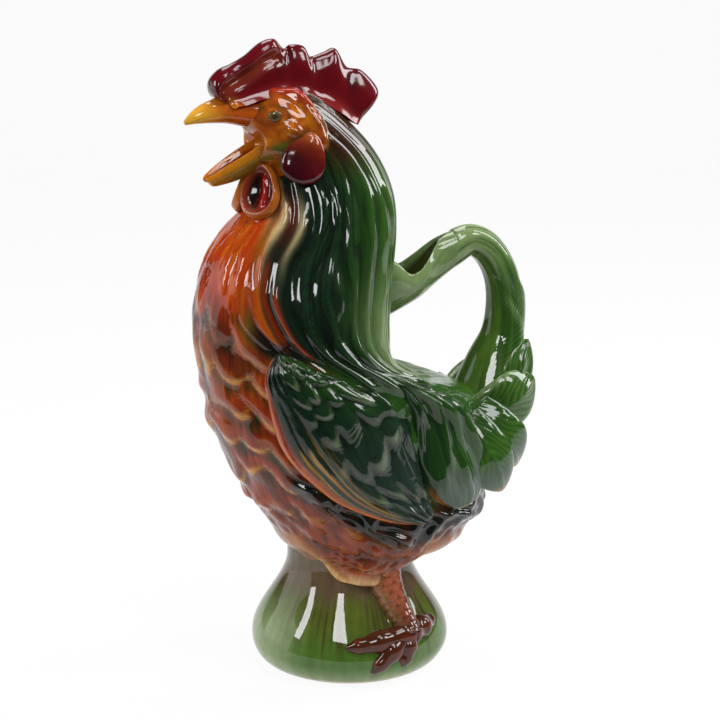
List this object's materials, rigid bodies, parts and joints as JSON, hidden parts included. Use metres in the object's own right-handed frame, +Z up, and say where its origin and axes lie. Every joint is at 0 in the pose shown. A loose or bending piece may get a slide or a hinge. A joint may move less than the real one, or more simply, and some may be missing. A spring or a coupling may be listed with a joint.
{
  "type": "rooster pitcher",
  "caption": "Glazed earthenware pitcher shaped as a crowing rooster on a flared foot, filled behind the neck, poured through the open beak and carried by the arched tail.",
  "frame": {"origin": "on the standing plane, under the middle of the jug's length and breadth", "axes": "+Z up, -X the way the beak points, -Y the bird's left side"},
  "size_m": [0.1962, 0.1144, 0.3399],
  "materials": {
    "grass_glaze": "glossy run green glaze with brown drips",
    "breast_glaze": "glossy orange-brown glaze, pooled olive in the feather lines",
    "hackle_glaze": "glossy deep green glaze with orange strand ends",
    "wing_glaze": "glossy bottle-green glaze with orange feather edges",
    "tail_glaze": "glossy leaf-green glaze with pale streaks",
    "face_glaze": "glossy amber glaze shaded with red and olive",
    "comb_glaze": "glossy oxblood glaze",
    "eye_glaze": "glossy olive glaze with a pale ring",
    "leg_glaze": "glossy red-brown glaze"
  },
  "bodies": {
    "root": {"pedestal": "grass_glaze", "body": "breast_glaze", "neck": "hackle_glaze", "head": "face_glaze", "filling_lip": "tail_glaze", "tail_handle": "tail_glaze", "upper_beak": "face_glaze", "lower_beak": "face_glaze", "comb": "comb_glaze", "wattle_left": "comb_glaze", "wattle_right": "comb_glaze", "ear_lobe_left": "comb_glaze", "ear_lobe_right": "comb_glaze", "eye_left": "eye_glaze", "eye_right": "eye_glaze", "wing_left": "wing_glaze", "wing_right": "wing_glaze", "saddle_feather_left": "tail_glaze", "saddle_feather_right": "tail_glaze", "tail_feather_1_left": "tail_glaze", "tail_feather_1_right": "tail_glaze", "tail_feather_2_left": "tail_glaze", "tail_feather_2_right": "tail_glaze", "tail_feather_3_left": "tail_glaze", "tail_feather_3_right": "tail_glaze", "tail_feather_4_left": "tail_glaze", "tail_feather_4_right": "tail_glaze", "leg_left": "leg_glaze", "leg_right": "leg_glaze", "foot_left": "leg_glaze", "foot_right": "leg_glaze"}
  },
  "joints": []
}
